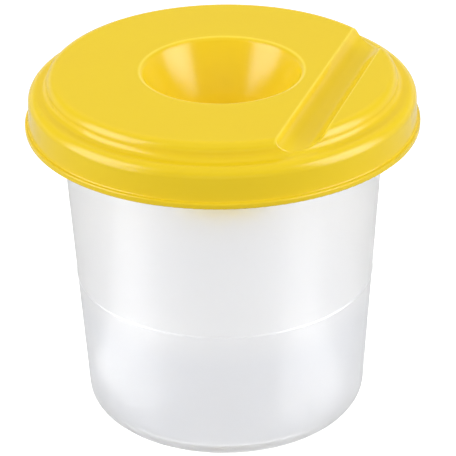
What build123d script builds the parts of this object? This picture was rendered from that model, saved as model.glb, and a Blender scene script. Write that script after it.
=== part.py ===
# Spill-proof paint cup with its push-on lid: a tapered translucent cup and a one-piece
# lid with a funnel in its middle and a groove where a brush rests. Millimetres.
# The cup's axis is Z, the cup stands on Z = 0, and the groove runs along Y on the +X side.

import os
from math import atan, cos, sin

from build123d import *

# Cup, measured over the outside of its wall
cup_height = 74.0  # rim, which the lid seats on
base_radius = 30.85  # where the drafted wall would meet the table
neck_radius = 35.0  # just under the collar
cup_wall = 1.2
cup_floor = 1.5
base_rounding = 4.0
foot_ring_width = 3.2
recess_depth = 0.8  # of the hollow inside the foot ring
recess_rounding = 0.5
gate_radius = 1.5  # disc left by the mould in the middle of the recess
gate_height = 0.3

# Collar round the cup's mouth, which the lid grips
collar_overhang = 4.5  # from the neck out to the collar
collar_wall = 1.3
collar_height = 4.55  # from the ledge's underside to the rim
ledge_rounding = 1.0
rim_rounding = 0.4
bead_drop = 1.9  # from the rim down to the bead's middle
bead_section_radius = 0.8
bead_proud = 0.45

# Fill line, a fine raised ring on the cup's wall
fill_line_height = 31.65
fill_line_section_radius = 0.45
fill_line_proud = 0.15

# Lid
lid_wall = 1.2
skirt_clearance = 0.35  # from the cup's bead to the inside of the skirt
skirt_flare = 0.3  # widening of the skirt down to its lip
skirt_depth = 8.15  # from the shoulder's edge down to the lip's underside
lip_proud = 0.7
lip_height = 1.4
lip_rounding = 0.35
lip_root_rounding = 0.3
shoulder_width = 4.1  # from the skirt in to the plateau's wall
shoulder_rise = 0.45
shoulder_rounding = 2.2
plateau_height = 3.8  # above the shoulder's edge
plateau_draft = 0.15
plateau_root_rounding = 1.4
plateau_rounding = 1.9
underside_rounding = 0.9
snap_clearance = 0.15  # from the lid's ridge to the cup's bead
snap_gap = 0.15  # between them in height when the lid is on
ridge_section_radius = 0.6

# Funnel, a cone that runs smoothly into a short spout
funnel_mouth_radius = 17.2  # where the bore would meet the plateau
funnel_waist_radius = 9.9  # where the cone would meet the spout
funnel_waist_depth = 16.5
funnel_outlet_radius = 9.3
funnel_depth = 29.55
funnel_mouth_rounding = 1.4
funnel_waist_rounding = 30.0
funnel_root_rounding = 1.0
funnel_tip_wall = 1.05
funnel_tip_rounding = 0.4

# Brush groove
groove_gap = 3.9  # of plateau left between the funnel's mouth and the groove
groove_width = 8.4
groove_depth = 3.0
groove_edge_rounding = 0.3

overrun = 1.0  # how far cuts run past what they cut


def points(corners):
    return [(radius, height) for radius, height, rounding in corners]


def roundings(corners):
    return [rounding for radius, height, rounding in corners]


# Each section is a list of corners: radius, height and rounding.
neck_height = cup_height - collar_height
wall_slope = (neck_radius - base_radius) / neck_height
recess_radius = base_radius - base_rounding - foot_ring_width
collar_radius = neck_radius + collar_overhang
inside_height = recess_depth + cup_floor
inside_radius = base_radius - cup_wall + wall_slope * inside_height

cup_section = [
    (0, 0, 0),
    (base_radius, 0, base_rounding),
    (neck_radius, neck_height, ledge_rounding),
    (collar_radius, neck_height, ledge_rounding),
    (collar_radius, cup_height, rim_rounding),
    (collar_radius - collar_wall, cup_height, rim_rounding),
    (collar_radius - collar_wall, neck_height + cup_wall, ledge_rounding),
    (neck_radius - cup_wall, neck_height + cup_wall, ledge_rounding),
    (inside_radius, inside_height, base_rounding - cup_wall),
    (0, inside_height, 0),
]
recess_section = [
    (0, -overrun, 0),
    (recess_radius, -overrun, 0),
    (recess_radius, recess_depth, recess_rounding),
    (0, recess_depth, 0),
]
bead_middle_radius = collar_radius + bead_proud - bead_section_radius
bead_height = cup_height - bead_drop
fill_line_radius = base_radius + wall_slope * fill_line_height + fill_line_proud

with BuildPart() as cup:
    with BuildSketch(Plane.XZ):
        with BuildLine():
            FilletPolyline(points(cup_section), radius=roundings(cup_section), close=True)
        make_face()
        with Locations((bead_middle_radius, bead_height)):
            Circle(bead_section_radius)
        with Locations((fill_line_radius - fill_line_section_radius, fill_line_height)):
            Circle(fill_line_section_radius)
    revolve(axis=Axis.Z)
    with BuildSketch(Plane.XZ):
        with BuildLine():
            FilletPolyline(
                points(recess_section), radius=roundings(recess_section), close=True
            )
        make_face()
    revolve(axis=Axis.Z, mode=Mode.SUBTRACT)
    with BuildSketch(Plane.XY.offset(recess_depth - gate_height)):
        Circle(gate_radius)
    extrude(amount=gate_height + cup_floor / 2)

# The lid's heights are counted up from the rim that it rests on.
shoulder_height = cup_height + lid_wall
lip_bottom = shoulder_height - skirt_depth
lip_top = lip_bottom + lip_height
plateau_top = shoulder_height + plateau_height
plateau_underside = plateau_top - lid_wall
funnel_tip = plateau_top - funnel_depth

bead_radius = collar_radius + bead_proud
skirt_inside_radius = bead_radius + skirt_clearance
shoulder_radius = skirt_inside_radius + lid_wall
skirt_radius = shoulder_radius + skirt_flare
plateau_radius = shoulder_radius - shoulder_width
plateau_inside_radius = plateau_radius - lid_wall

funnel_slope = (funnel_mouth_radius - funnel_waist_radius) / funnel_waist_depth
spout_slope = (funnel_waist_radius - funnel_outlet_radius) / (funnel_depth - funnel_waist_depth)
funnel_root_radius = (
    funnel_mouth_radius - funnel_slope * lid_wall + lid_wall * (1 + funnel_slope**2) ** 0.5
)
# Outside the waist the wall keeps its thickness, so its corner lies out along the bend's middle.
waist_height = plateau_top - funnel_waist_depth
waist_lean = (atan(funnel_slope) + atan(spout_slope)) / 2
waist_shift = lid_wall / cos((atan(funnel_slope) - atan(spout_slope)) / 2)
waist_outside_radius = funnel_waist_radius + waist_shift * cos(waist_lean)
waist_outside_height = waist_height - waist_shift * sin(waist_lean)

lid_section = [
    (skirt_radius + lip_proud, lip_bottom, lip_rounding),
    (skirt_radius + lip_proud, lip_top, lip_rounding),
    (skirt_radius, lip_top, lip_root_rounding),
    (shoulder_radius, shoulder_height, shoulder_rounding),
    (plateau_radius + plateau_draft, shoulder_height + shoulder_rise, plateau_root_rounding),
    (plateau_radius, plateau_top, plateau_rounding),
    (funnel_mouth_radius, plateau_top, funnel_mouth_rounding),
    (funnel_waist_radius, waist_height, funnel_waist_rounding),
    (funnel_outlet_radius, funnel_tip, funnel_tip_rounding),
    (funnel_outlet_radius + funnel_tip_wall, funnel_tip, funnel_tip_rounding),
    (waist_outside_radius, waist_outside_height, funnel_waist_rounding - lid_wall),
    (funnel_root_radius, plateau_underside, funnel_root_rounding),
    (plateau_inside_radius, plateau_underside, underside_rounding),
    (plateau_inside_radius, cup_height, underside_rounding),
    (skirt_inside_radius, cup_height, underside_rounding),
    (skirt_inside_radius + skirt_flare, lip_bottom, lip_rounding),
]
ridge_middle_radius = bead_radius + snap_clearance + ridge_section_radius
ridge_height = bead_height - bead_section_radius - snap_gap - ridge_section_radius

groove_offset = funnel_mouth_radius + groove_gap + groove_width / 2
groove_radius = (groove_width**2 / 4 + groove_depth**2) / (2 * groove_depth)
groove_middle = (groove_offset, plateau_top - groove_depth + groove_radius)

# The groove's floor keeps the lid's wall thickness, so it bulges under the plateau.
with BuildPart() as groove_floor:
    with BuildSketch(Plane.XZ):
        with Locations(groove_middle):
            Circle(groove_radius + lid_wall)
    extrude(amount=plateau_radius, both=True)
    with BuildSketch(Plane.XY.offset(cup_height)):
        Circle(plateau_radius - lid_wall / 2)
    extrude(amount=plateau_top - lid_wall / 2 - cup_height, mode=Mode.INTERSECT)

with BuildPart() as lid:
    with BuildSketch(Plane.XZ):
        with BuildLine():
            FilletPolyline(points(lid_section), radius=roundings(lid_section), close=True)
        make_face()
        with Locations((ridge_middle_radius, ridge_height)):
            Circle(ridge_section_radius)
    revolve(axis=Axis.Z)
    add(groove_floor.part)
    with BuildSketch(Plane.XZ):
        with Locations(groove_middle):
            Circle(groove_radius)
    extrude(amount=plateau_radius + overrun, both=True, mode=Mode.SUBTRACT)
    fillet(edges(Select.NEW), groove_edge_rounding)

os.makedirs("parts", exist_ok=True)
cup.part.label = "cup"
export_step(cup.part, "parts/cup.step")
lid.part.label = "lid"
export_step(lid.part, "parts/lid.step")
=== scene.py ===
from math import cos, radians, sin

import bpy
from mathutils import Matrix, Vector


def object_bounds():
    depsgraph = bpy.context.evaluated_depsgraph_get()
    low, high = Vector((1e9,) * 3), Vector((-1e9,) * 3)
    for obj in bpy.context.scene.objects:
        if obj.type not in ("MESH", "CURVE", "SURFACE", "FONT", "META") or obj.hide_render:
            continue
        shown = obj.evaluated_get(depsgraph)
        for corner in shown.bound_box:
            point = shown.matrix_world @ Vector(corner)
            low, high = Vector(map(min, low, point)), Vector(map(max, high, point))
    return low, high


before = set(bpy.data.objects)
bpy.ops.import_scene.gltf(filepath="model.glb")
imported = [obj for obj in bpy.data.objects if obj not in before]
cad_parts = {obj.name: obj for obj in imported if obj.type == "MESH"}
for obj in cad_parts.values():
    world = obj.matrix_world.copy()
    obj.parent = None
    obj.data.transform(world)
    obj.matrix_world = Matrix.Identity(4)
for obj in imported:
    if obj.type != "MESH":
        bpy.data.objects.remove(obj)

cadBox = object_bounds()
scene = bpy.context.scene
print("frame loaded")


class Wire:
    # one socket of a node tree, so that shader maths reads as maths
    def __init__(self, tree, socket):
        self.tree = tree
        self.socket = socket

    def maths(self, operation, first, second):
        return self.tree.node("ShaderNodeMath", {"operation": operation}, {0: first, 1: second})

    def __add__(self, other):
        return self.maths("ADD", self, other)

    def __sub__(self, other):
        return self.maths("SUBTRACT", self, other)

    def __rsub__(self, other):
        return self.maths("SUBTRACT", other, self)

    def __mul__(self, other):
        return self.maths("MULTIPLY", self, other)

    def __truediv__(self, other):
        return self.maths("DIVIDE", self, other)

    def __pow__(self, other):
        return self.maths("POWER", self, other)

    def __abs__(self):
        return self.maths("ABSOLUTE", self, 0)

    __radd__ = __add__
    __rmul__ = __mul__


class Shader:
    # the node tree of a material or of the world, emptied
    def __init__(self, owner):
        owner.use_nodes = True
        self.nodes = owner.node_tree.nodes
        self.links = owner.node_tree.links
        self.nodes.clear()

    def node(self, kind, settings, inputs, output=0):
        made = self.nodes.new(kind)
        for name, value in settings.items():
            if name == "stops":
                self.setStops(made.color_ramp, value)
            else:
                setattr(made, name, value)
        for name, value in inputs.items():
            if isinstance(value, Wire):
                self.links.new(value.socket, made.inputs[name])
            else:
                made.inputs[name].default_value = value
        return Wire(self, made.outputs[output]) if len(made.outputs) else None

    def setStops(self, ramp, stops):
        while len(ramp.elements) < len(stops):
            ramp.elements.new(1)
        for element, (place, colour) in zip(ramp.elements, stops):
            element.position = place
            element.color = colour

    def clamp(self, value):
        return self.node("ShaderNodeClamp", {}, {"Value": value})

    def noise(self, place, scale, detail):
        inputs = {"Vector": place, "Scale": scale, "Detail": detail}
        return self.node("ShaderNodeTexNoise", {}, inputs)

    def along(self, axis, vector):
        return self.node("ShaderNodeSeparateXYZ", {}, {"Vector": vector}, output=axis)

    def ray(self, kind):
        return self.node("ShaderNodeLightPath", {}, {}, output=kind)

    def mixColours(self, share, first, second):
        sockets = {"Factor": share, 6: first, 7: second}  # 6 and 7 take its two colours
        return self.node("ShaderNodeMix", {"data_type": "RGBA"}, sockets, output=2)


def materialFor(node, name):
    material = bpy.data.materials.new(name)
    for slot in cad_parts[node].material_slots:
        slot.material = material
    return Shader(material)


# Camera, fitted to the photograph's outlines. Places are in metres and angles in degrees.
view = {
    "azimuth": 18.4,  # round the cup's axis, from the side with Y below 0
    "distance": 0.4515,  # from the cup's axis, level
    "height": 0.2791,
    "yaw": 0.103,
    "pitch": 27.846,
    "roll": -0.837,
    "lens": 182.5,  # millimetres
}


def standCamera():
    data = bpy.data.cameras.new("camera")
    data.lens = view["lens"]
    camera = bpy.data.objects.new("camera", data)
    scene.collection.objects.link(camera)
    azimuth = radians(view["azimuth"])
    place = Vector((sin(azimuth), -cos(azimuth), 0)) * view["distance"]
    place.z = view["height"]
    turn = Matrix.Rotation(azimuth - radians(view["yaw"]), 4, "Z")
    tilt = Matrix.Rotation(radians(90 - view["pitch"]), 4, "X")
    roll = Matrix.Rotation(radians(view["roll"]), 4, "Z")
    camera.matrix_world = Matrix.Translation(place) @ turn @ tilt @ roll
    scene.camera = camera


standCamera()
print("camera stands")

# Lid: opaque yellow plastic with a satin gloss
lidFinish = {
    "yellow": (0.84, 0.607, 0.0125, 1),
    "deepYellow": (0.82, 0.572, 0.0105, 1),  # where the cloud is thick
    "cloud": {"scale": 60.0, "detail": 3.0},
    "grain": {"scale": 900.0, "detail": 2.0, "strength": 0.06, "depth": 0.0002},
    "roughness": 0.17,
    "roughnessSwing": 0.06,
    "gloss": 0.3,
    "top": 0.079,  # height of the plateau
    # painted light: the plastic is painted lighter deeper in the funnel, standing in for light
    # that gathers there
    "funnel": {"mouth": 0.0172, "depth": 0.014, "colour": (0.985, 0.755, 0.036, 1)},
    "groove": {"middle": 0.0253, "half": 0.0042},
    # painted highlights: thin pale lines round the funnel's mouth and along the groove, where
    # the rounded rims catch the light
    "edge": {"reach": 0.00045, "drop": 0.0012, "colour": (0.94, 0.73, 0.07, 1)},
}


def paintLid():
    shader = materialFor("lid", "yellowPlastic")
    place = shader.node("ShaderNodeTexCoord", {}, {}, output="Object")
    cloud = shader.noise(place, lidFinish["cloud"]["scale"], lidFinish["cloud"]["detail"])
    across = shader.along("X", place)
    lengthways = shader.along("Y", place)
    drop = lidFinish["top"] - shader.along("Z", place)
    radius = (across * across + lengthways * lengthways) ** 0.5
    funnel, groove, edge = lidFinish["funnel"], lidFinish["groove"], lidFinish["edge"]
    inFunnel = shader.clamp((funnel["mouth"] - radius) / edge["reach"])
    fromMouth = abs(radius - funnel["mouth"] - edge["reach"])
    fromGroove = abs(abs(across - groove["middle"]) - groove["half"])
    onMouth = shader.clamp(1 - fromMouth / edge["reach"])
    onGroove = shader.clamp(1 - fromGroove / edge["reach"])
    nearTop = shader.clamp(1 - drop / edge["drop"])
    # painted highlights round the funnel's mouth and along the groove
    onPaintedHighlight = shader.clamp((onMouth + onGroove) * nearTop)
    colour = shader.mixColours(cloud, lidFinish["yellow"], lidFinish["deepYellow"])
    # painted light deeper in the funnel
    paintedFunnelLight = shader.clamp(drop / funnel["depth"])
    colour = shader.mixColours(paintedFunnelLight * inFunnel, colour, funnel["colour"])
    colour = shader.mixColours(onPaintedHighlight, colour, edge["colour"])
    grain = lidFinish["grain"]
    bump = shader.node("ShaderNodeBump", {}, {
        "Height": shader.noise(place, grain["scale"], grain["detail"]),
        "Strength": grain["strength"],
        "Distance": grain["depth"],
    })
    surface = shader.node("ShaderNodeBsdfPrincipled", {}, {
        "Base Color": colour,
        "Roughness": lidFinish["roughness"] + lidFinish["roughnessSwing"] * (cloud - 0.5),
        "Specular IOR Level": lidFinish["gloss"],
        "Normal": bump,
    })
    shader.node("ShaderNodeOutputMaterial", {}, {"Surface": surface})


paintLid()
print("lid painted")

# Cup: milky plastic that lets light and soft shapes through
cupFinish = {
    "milk": (0.816, 0.816, 0.82, 1),
    "thinMilk": (0.842, 0.842, 0.846, 1),
    "thinShare": 0.6,  # of the thin milk where the cloud is thickest
    "shadedMilk": (0.727, 0.738, 0.768, 1),  # painted shade: darker and bluer under the fill line, where the shaded cup floor shows through
    "shadeFade": 0.25,  # share of the line's height that the change to it takes
    "cloud": {"scale": 45.0, "detail": 3.0},
    # the fill line is a moulded ridge; its colour, a little paler than the milk, is a faint
    # painted highlight along it
    "line": {"height": 0.03165, "reach": 0.0008, "colour": (0.82, 0.826, 0.84, 1)},
    # painted highlight: the cup is painted white round its bottom rounding, which lightens its
    # shade against the floor
    "foot": {"height": 0.0022, "colour": (1, 1, 1, 1)},
    "roughness": 0.31,
    "roughnessSwing": 0.03,
    "lineRoughness": 0.15,  # that the fill line adds
    "gloss": 0.1,
    "clearness": 0.92,
    "refraction": 1.49,
    "lampLight": (0.65, 0.65, 0.65, 1),  # that each face lets through
    "sheen": 0.5,  # of the soft outer skin
    "sheenRoughness": 0.29,
    "sheenRefraction": 1.5,
}


def paintCup():
    shader = materialFor("cup", "milkyPlastic")
    place = shader.node("ShaderNodeTexCoord", {}, {}, output="Object")
    cloud = shader.noise(place, cupFinish["cloud"]["scale"], cupFinish["cloud"]["detail"])
    height = shader.along("Z", place)
    line, foot = cupFinish["line"], cupFinish["foot"]
    onLine = shader.clamp(1 - abs(height - line["height"]) / line["reach"])
    fade = line["height"] * cupFinish["shadeFade"]
    # painted shade under the fill line
    shadeUnderLine = shader.clamp((line["height"] - height) / fade)
    onFootHighlight = shader.clamp(1 - height / foot["height"])
    colour = shader.mixColours(shadeUnderLine, cupFinish["milk"], cupFinish["shadedMilk"])
    thin = cloud * cupFinish["thinShare"]
    colour = shader.mixColours(thin, colour, cupFinish["thinMilk"])
    # faint painted highlight along the fill line
    colour = shader.mixColours(onLine, colour, line["colour"])
    # painted highlight round the bottom rounding
    colour = shader.mixColours(onFootHighlight, colour, foot["colour"])
    roughness = cupFinish["roughness"] + cupFinish["roughnessSwing"] * (cloud - 0.5)
    surface = shader.node("ShaderNodeBsdfPrincipled", {}, {
        "Base Color": colour,
        "Roughness": roughness + cupFinish["lineRoughness"] * onLine,
        "IOR": cupFinish["refraction"],
        "Specular IOR Level": cupFinish["gloss"],
        "Transmission Weight": cupFinish["clearness"],
        "Coat Weight": cupFinish["sheen"],
        "Coat Roughness": cupFinish["sheenRoughness"],
        "Coat IOR": cupFinish["sheenRefraction"],
    })
    # lamps shine through the cup without the frosting's noise
    window = shader.node("ShaderNodeBsdfTransparent", {}, {"Color": cupFinish["lampLight"]})
    sockets = {0: shader.ray("Is Shadow Ray"), 1: surface, 2: window}
    wall = shader.node("ShaderNodeMixShader", {}, sockets)
    shader.node("ShaderNodeOutputMaterial", {}, {"Surface": wall})


paintCup()
print("cup painted")

# Floor, world and lamps
studio = {
    "floorRadius": 3.0,
    "floorColour": (0.37, 0.37, 0.37, 1),
    "floorLift": 0.85,  # glow that makes it look white
    "floorShine": 0.3,  # share of the lift that reflections show
    # the world's brightness by the sine of the height over the horizon
    "sky": (
        (0.0, 0.8), (0.15, 0.8), (0.33, 0.3), (0.5, 0.35), (0.7, 0.55), (0.85, 0.7), (1.0, 0.7)
    ),
}
# Azimuths are counted from the camera's. A matt lamp shows in no reflection, and a sheen
# shows in reflections alone. A table sheen lies on the floor and faces up, in place of the
# panel's mirror image in a polished table.
lamps = {
    "backBox": {"kind": "matt", "azimuth": 180, "power": 1.6,
                "distance": 0.45, "height": 0.4, "size": (0.6, 0.4)},
    "topBox": {"kind": "matt", "azimuth": 0, "power": 0.12,
               "distance": 0.22, "height": 0.65, "size": (0.4, 0.4)},
    "lowBox": {"kind": "matt", "azimuth": 0, "power": 0.62,
               "distance": 0.6, "height": 0.18, "size": (0.5, 0.3)},
    "leftPanel": {"kind": "plain", "azimuth": -73, "power": 1.02,
                  "distance": 0.42, "height": 0.21, "size": (0.34, 0.42)},
    "rightPanel": {"kind": "plain", "azimuth": 73, "power": 1.08,
                   "distance": 0.42, "height": 0.21, "size": (0.34, 0.42)},
    "leftSheen": {"kind": "sheen", "azimuth": -73, "power": 6.2,
                  "distance": 0.42, "height": 0.21, "size": (0.34, 0.42)},
    "rightSheen": {"kind": "sheen", "azimuth": 73, "power": 8.2,
                   "distance": 0.42, "height": 0.21, "size": (0.28, 0.42)},
    "leftTable": {"kind": "table sheen", "azimuth": -62, "power": 0.016,
                  "distance": 0.084, "height": 0.002, "size": (0.045, 0.091)},
    "rightTable": {"kind": "table sheen", "azimuth": 50, "power": 0.013,
                   "distance": 0.084, "height": 0.002, "size": (0.035, 0.091)},
}


def addFloor():
    mesh = bpy.data.meshes.new("floor")
    reach = studio["floorRadius"]
    corners = [(-reach, -reach, 0), (reach, -reach, 0), (reach, reach, 0), (-reach, reach, 0)]
    mesh.from_pydata(corners, [], [(0, 1, 2, 3)])
    floor = bpy.data.objects.new("floor", mesh)
    scene.collection.objects.link(floor)
    material = bpy.data.materials.new("paleFloor")
    mesh.materials.append(material)
    shader = Shader(material)
    seen = seenDirectly(shader)
    card = shader.node("ShaderNodeBsdfDiffuse", {}, {"Color": studio["floorColour"]})
    lift = shader.node("ShaderNodeEmission", {}, {"Strength": seen * studio["floorLift"]})
    both = shader.node("ShaderNodeAddShader", {}, {0: card, 1: lift})
    shader.node("ShaderNodeOutputMaterial", {}, {"Surface": both})


def seenDirectly(shader):
    straight = shader.ray("Is Camera Ray") + shader.ray("Is Transmission Ray")
    return shader.clamp(straight + shader.ray("Is Glossy Ray") * studio["floorShine"])


def lightWorld():
    scene.world = bpy.data.worlds.new("studio")
    shader = Shader(scene.world)
    direction = shader.node("ShaderNodeTexCoord", {}, {}, output="Generated")
    height = shader.along("Z", direction)
    stops = [(place, (level, level, level, 1)) for place, level in studio["sky"]]
    level = shader.node("ShaderNodeValToRGB", {"stops": stops}, {"Fac": height})
    sky = shader.node("ShaderNodeBackground", {}, {"Color": level})
    shader.node("ShaderNodeOutputWorld", {}, {"Surface": sky})


def hangLamp(name, values):
    data = bpy.data.lights.new(name, "AREA")
    data.shape = "RECTANGLE"
    data.size, data.size_y = values["size"]
    data.energy = values["power"]
    lamp = bpy.data.objects.new(name, data)
    scene.collection.objects.link(lamp)
    lamp.visible_camera = False
    lamp.visible_glossy = values["kind"] != "matt"
    lamp.visible_diffuse = values["kind"] in ("matt", "plain")
    lamp.visible_transmission = lamp.visible_diffuse
    azimuth = radians(view["azimuth"] + values["azimuth"])
    place = Vector((sin(azimuth), -cos(azimuth), 0)) * values["distance"]
    place.z = values["height"]
    lamp.location = place
    if values["kind"] == "table sheen":
        lamp.rotation_euler = (radians(180), 0, azimuth)
    else:
        middle = (cadBox[0] + cadBox[1]) / 2
        lamp.rotation_euler = (place - middle).to_track_quat("Z", "Y").to_euler()


addFloor()
lightWorld()
for name, values in lamps.items():
    hangLamp(name, values)
scene.view_settings.view_transform = "Standard"
print("studio lit")
